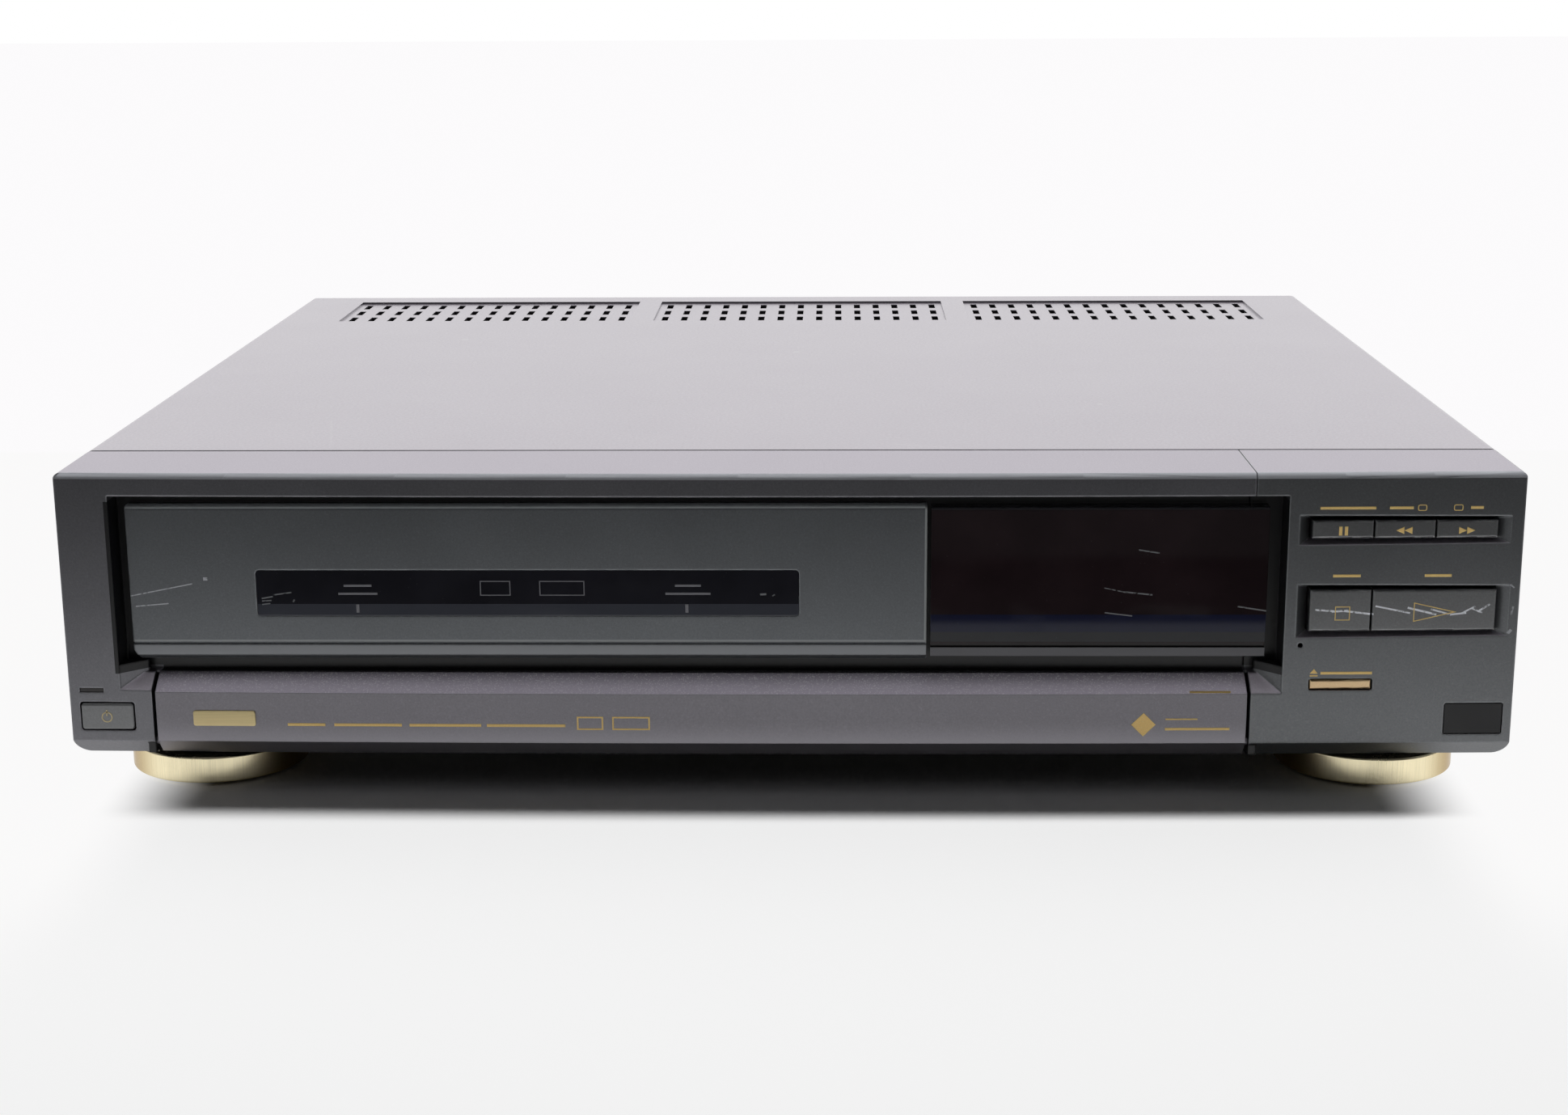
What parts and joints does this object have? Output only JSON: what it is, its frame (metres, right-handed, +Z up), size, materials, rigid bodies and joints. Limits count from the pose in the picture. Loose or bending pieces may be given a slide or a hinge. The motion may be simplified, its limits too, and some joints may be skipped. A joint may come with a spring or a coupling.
{
  "type": "video cassette recorder",
  "caption": "Home video cassette recorder with a slide-out cassette tray, smoked display, flip-down door, push buttons and round metal-look front feet.",
  "frame": {"origin": "centre of the footprint on the table, below the middle of the recorder with its terminals", "axes": "+X to the right as the user faces it, +Y to the rear, +Z up"},
  "size_m": [0.4396, 0.3844, 0.099],
  "materials": {
    "cover_steel": "satin dark paint",
    "pan_steel": "zinc plated",
    "fascia_plastic": "charcoal metallic satin",
    "button_plastic": "charcoal satin gloss",
    "gold_button": "metallic gold paint",
    "smoked_plastic": "smoked black gloss",
    "display_glass": "dark glass",
    "gold_ring": "champagne gold satin",
    "foot_rubber": "matt black",
    "board": "circuit board",
    "motor_can": "plated steel",
    "cast_metal": "machined aluminium",
    "dark_plastic": "black moulded",
    "gear_plastic": "off-white acetal"
  },
  "bodies": {
    "cabinet": {"top_cover": "cover_steel", "cover_screws": "pan_steel", "bottom_pan": "pan_steel", "rear_panel": "cover_steel", "fascia": "fascia_plastic", "control_panel": "fascia_plastic", "display_window": "smoked_plastic", "infrared_window": "smoked_plastic", "power_lamp": "smoked_plastic", "inner_panel": "fascia_plastic", "front_jacks": "dark_plastic", "door_latch": "fascia_plastic", "display_tube": "display_glass", "front_board": "board", "foot_ring_left": "gold_ring", "foot_ring_right": "gold_ring", "foot_base_left": "foot_rubber", "foot_base_right": "foot_rubber", "rear_foot_left": "foot_rubber", "rear_foot_right": "foot_rubber", "deck_plate": "pan_steel", "tray_rail_left": "pan_steel", "tray_rail_right": "pan_steel", "tray_motor": "motor_can", "tray_belt": "foot_rubber", "drum_base": "cast_metal", "capstan_motor": "cast_metal", "audio_head": "dark_plastic", "main_board": "board", "power_board": "board", "transformer": "motor_can", "heat_sink": "cast_metal", "tuner_module": "motor_can", "line_jacks": "dark_plastic", "mains_inlet": "dark_plastic"},
    "tray": {"tray_front": "fascia_plastic", "tray_window": "smoked_plastic", "tray_pan": "dark_plastic", "tray_rack": "dark_plastic"},
    "door": {"door": "fascia_plastic"},
    "drive_gear": {"tray_drive_gear": "gear_plastic"},
    "pulley": {"motor_pulley": "gear_plastic"},
    "drum": {"head_drum": "cast_metal"},
    "capstan": {"capstan": "motor_can"},
    "pinch_arm": {"pinch_arm": "dark_plastic"},
    "pinch_roller": {"pinch_roller": "foot_rubber"},
    "supply_reel": {"supply_reel": "gear_plastic"},
    "takeup_reel": {"takeup_reel": "gear_plastic"},
    "supply_guide": {"supply_guide": "gear_plastic"},
    "takeup_guide": {"takeup_guide": "gear_plastic"},
    "power_button": {"power_button": "button_plastic"},
    "pause_button": {"pause_button": "button_plastic"},
    "rewind_button": {"rewind_button": "button_plastic"},
    "fast_forward_button": {"fast_forward_button": "button_plastic"},
    "stop_button": {"stop_button": "button_plastic"},
    "play_button": {"play_button": "button_plastic"},
    "open_close_button": {"open_close_button": "gold_button"},
    "tracking_down_key": {"tracking_down_key": "button_plastic"},
    "tracking_up_key": {"tracking_up_key": "button_plastic"}
  },
  "joints": [
    {"name": "tray_slide", "type": "slide", "parent": "cabinet", "child": "tray", "axis": [0, -1, 0], "range_m": [0, 0.125]},
    {"name": "door_hinge", "type": "hinge", "parent": "cabinet", "child": "door", "pos_m": [0, -0.18685, 0.0152], "axis": [1, 0, 0], "range_deg": [0, 88]},
    {"name": "drive_gear_turn", "type": "hinge", "parent": "cabinet", "child": "drive_gear", "pos_m": [0.04925, -0.12825, 0.053], "axis": [0, 0, 1], "range_deg": [0, 400]},
    {"name": "pulley_turn", "type": "hinge", "parent": "cabinet", "child": "pulley", "pos_m": [0.08525, -0.12825, 0.047], "axis": [0, 0, 1], "range_deg": [0, 1400]},
    {"name": "drum_spin", "type": "hinge", "parent": "cabinet", "child": "drum", "pos_m": [-0.078, -0.01025, 0.042], "axis": [0, -0.0872, 0.9962], "continuous": true},
    {"name": "capstan_spin", "type": "hinge", "parent": "cabinet", "child": "capstan", "pos_m": [-0.03, -0.05225, 0.04], "axis": [0, 0, 1], "continuous": true},
    {"name": "pinch_swing", "type": "hinge", "parent": "cabinet", "child": "pinch_arm", "pos_m": [0, -0.04225, 0.036], "axis": [0, 0, 1], "range_deg": [0, 35]},
    {"name": "pinch_roller_spin", "type": "hinge", "parent": "pinch_arm", "child": "pinch_roller", "pos_m": [-0.02133, -0.03564, 0.045], "axis": [0, 0, 1], "continuous": true},
    {"name": "supply_reel_spin", "type": "hinge", "parent": "cabinet", "child": "supply_reel", "pos_m": [-0.116, -0.12625, 0.036], "axis": [0, 0, 1], "continuous": true},
    {"name": "takeup_reel_spin", "type": "hinge", "parent": "cabinet", "child": "takeup_reel", "pos_m": [-0.04, -0.12625, 0.036], "axis": [0, 0, 1], "continuous": true},
    {"name": "supply_guide_slide", "type": "slide", "parent": "cabinet", "child": "supply_guide", "axis": [-0.501, 0.8654, 0], "range_m": [0, 0.04391]},
    {"name": "takeup_guide_slide", "type": "slide", "parent": "cabinet", "child": "takeup_guide", "axis": [0.501, 0.8654, 0], "range_m": [0, 0.04391]},
    {"name": "power_button_press", "type": "slide", "parent": "cabinet", "child": "power_button", "axis": [0, 1, 0], "range_m": [0, 0.0012], "stiffness_N_per_m": 300},
    {"name": "pause_button_press", "type": "slide", "parent": "cabinet", "child": "pause_button", "axis": [0, 1, 0], "range_m": [0, 0.0012], "stiffness_N_per_m": 300},
    {"name": "rewind_button_press", "type": "slide", "parent": "cabinet", "child": "rewind_button", "axis": [0, 1, 0], "range_m": [0, 0.0012], "stiffness_N_per_m": 300},
    {"name": "fast_forward_button_press", "type": "slide", "parent": "cabinet", "child": "fast_forward_button", "axis": [0, 1, 0], "range_m": [0, 0.0012], "stiffness_N_per_m": 300},
    {"name": "stop_button_press", "type": "slide", "parent": "cabinet", "child": "stop_button", "axis": [0, 1, 0], "range_m": [0, 0.0012], "stiffness_N_per_m": 300},
    {"name": "play_button_press", "type": "slide", "parent": "cabinet", "child": "play_button", "axis": [0, 1, 0], "range_m": [0, 0.0012], "stiffness_N_per_m": 300},
    {"name": "open_close_button_press", "type": "slide", "parent": "cabinet", "child": "open_close_button", "axis": [0, 1, 0], "range_m": [0, 0.0012], "stiffness_N_per_m": 300},
    {"name": "tracking_down_key_press", "type": "slide", "parent": "cabinet", "child": "tracking_down_key", "axis": [0, 1, 0], "range_m": [0, 0.0012], "stiffness_N_per_m": 300},
    {"name": "tracking_up_key_press", "type": "slide", "parent": "cabinet", "child": "tracking_up_key", "axis": [0, 1, 0], "range_m": [0, 0.0012], "stiffness_N_per_m": 300}
  ],
  "couplings": [
    {"joint": "drive_gear_turn", "follows": "tray_slide", "rad_per_m": 55.556},
    {"joint": "pulley_turn", "follows": "tray_slide", "rad_per_m": 194.44},
    {"joint": "takeup_guide_slide", "follows": "supply_guide_slide", "ratio": 1}
  ]
}
